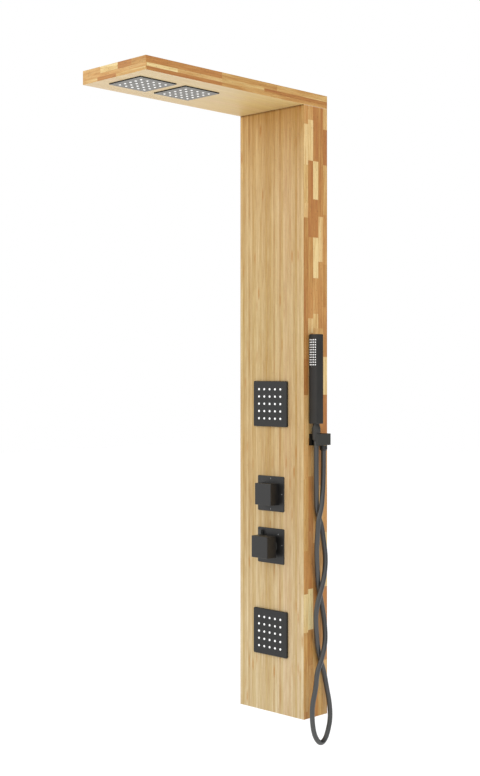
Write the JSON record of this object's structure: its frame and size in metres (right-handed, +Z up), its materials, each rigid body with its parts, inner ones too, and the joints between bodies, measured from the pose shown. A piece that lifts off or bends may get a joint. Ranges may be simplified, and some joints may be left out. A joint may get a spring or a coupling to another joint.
{
  "type": "shower panel",
  "caption": "Tall wall-mounted bamboo shower panel with an overhead arm, flat square rain heads, square body jets, two square knobs, a stick hand shower and its hose.",
  "frame": {"origin": "midway between the two screw holes of the upper wall bracket, on the wall face", "axes": "+Z up, +X to the right seen from the front, +Y into the wall; the arm reaches along -Y"},
  "size_m": [0.2445, 0.5874, 1.5765],
  "materials": {
    "bamboo": "oiled laminated bamboo, satin",
    "black_metal": "matte black powder coat",
    "black_plastic": "matte black",
    "moulding": "moulded",
    "silicone": "white silicone",
    "pipe": "plain tube",
    "brass": "turned brass",
    "steel": "plain steel",
    "hose": "smooth satin black"
  },
  "bodies": {
    "casing": {"front_board": "bamboo", "left_side_board": "bamboo", "right_side_board": "bamboo", "bottom_board": "bamboo", "cross_battens": "bamboo", "arm_top_board": "bamboo", "arm_soffit_board": "bamboo", "arm_nose_board": "bamboo", "arm_left_rail": "bamboo", "arm_right_rail": "bamboo", "arm_back_rail": "bamboo", "wall_brackets": "steel", "upper_jet_face": "black_metal", "lower_jet_face": "black_metal", "front_rain_head_face": "black_metal", "rear_rain_head_face": "black_metal", "upper_jet_nozzles": "silicone", "lower_jet_nozzles": "silicone", "front_rain_head_nozzles": "silicone", "rear_rain_head_nozzles": "silicone", "upper_jet_body": "moulding", "lower_jet_body": "moulding", "front_rain_head_body": "moulding", "rear_rain_head_body": "moulding", "jet_nuts": "moulding", "control_nuts": "moulding", "rain_head_screws": "steel", "diverter_escutcheon": "black_metal", "mixer_escutcheon": "black_metal", "riser_pipe": "pipe", "jets_feed_pipe": "pipe", "upper_jet_pipe": "pipe", "lower_jet_pipe": "pipe", "rain_pipe": "pipe", "rain_link_pipe": "pipe", "hand_shower_pipe": "pipe", "diverter_valve": "brass", "mixer_valve": "brass", "jets_tee": "brass", "outlet_spigot": "brass", "outlet_lock_nut": "brass", "outlet_nipple": "brass", "shower_holder": "black_metal", "holder_screws": "steel", "outlet_hose_nut": "black_metal", "hose": "hose"},
    "diverter_handle": {"diverter_knob": "black_metal", "diverter_knob_screw": "steel", "diverter_spindle": "brass"},
    "flow_handle": {"flow_knob": "black_metal", "flow_knob_screw": "steel", "mixer_spindle": "brass"},
    "temperature_handle": {"temperature_ring": "black_metal", "temperature_sleeve": "brass"},
    "hand_shower": {"hand_shower_body": "black_plastic", "hand_shower_face": "black_plastic", "hand_shower_nozzles": "silicone", "hand_shower_neck": "black_metal", "hand_hose_nut": "black_metal"}
  },
  "joints": [
    {"name": "diverter_turn", "type": "hinge", "parent": "casing", "child": "diverter_handle", "pos_m": [0, -0.0878, -0.793], "axis": [0, -1, 0], "range_deg": [-90, 90]},
    {"name": "flow_turn", "type": "hinge", "parent": "casing", "child": "flow_handle", "pos_m": [0, -0.0969, -0.921], "axis": [0, -1, 0], "range_deg": [0, 90]},
    {"name": "temperature_turn", "type": "hinge", "parent": "casing", "child": "temperature_handle", "pos_m": [0, -0.0878, -0.921], "axis": [0, 1, 0], "range_deg": [0, 110]},
    {"name": "hand_shower_lift", "type": "slide", "parent": "casing", "child": "hand_shower", "axis": [0, 0, 1], "range_m": [0, 0.03]}
  ]
}
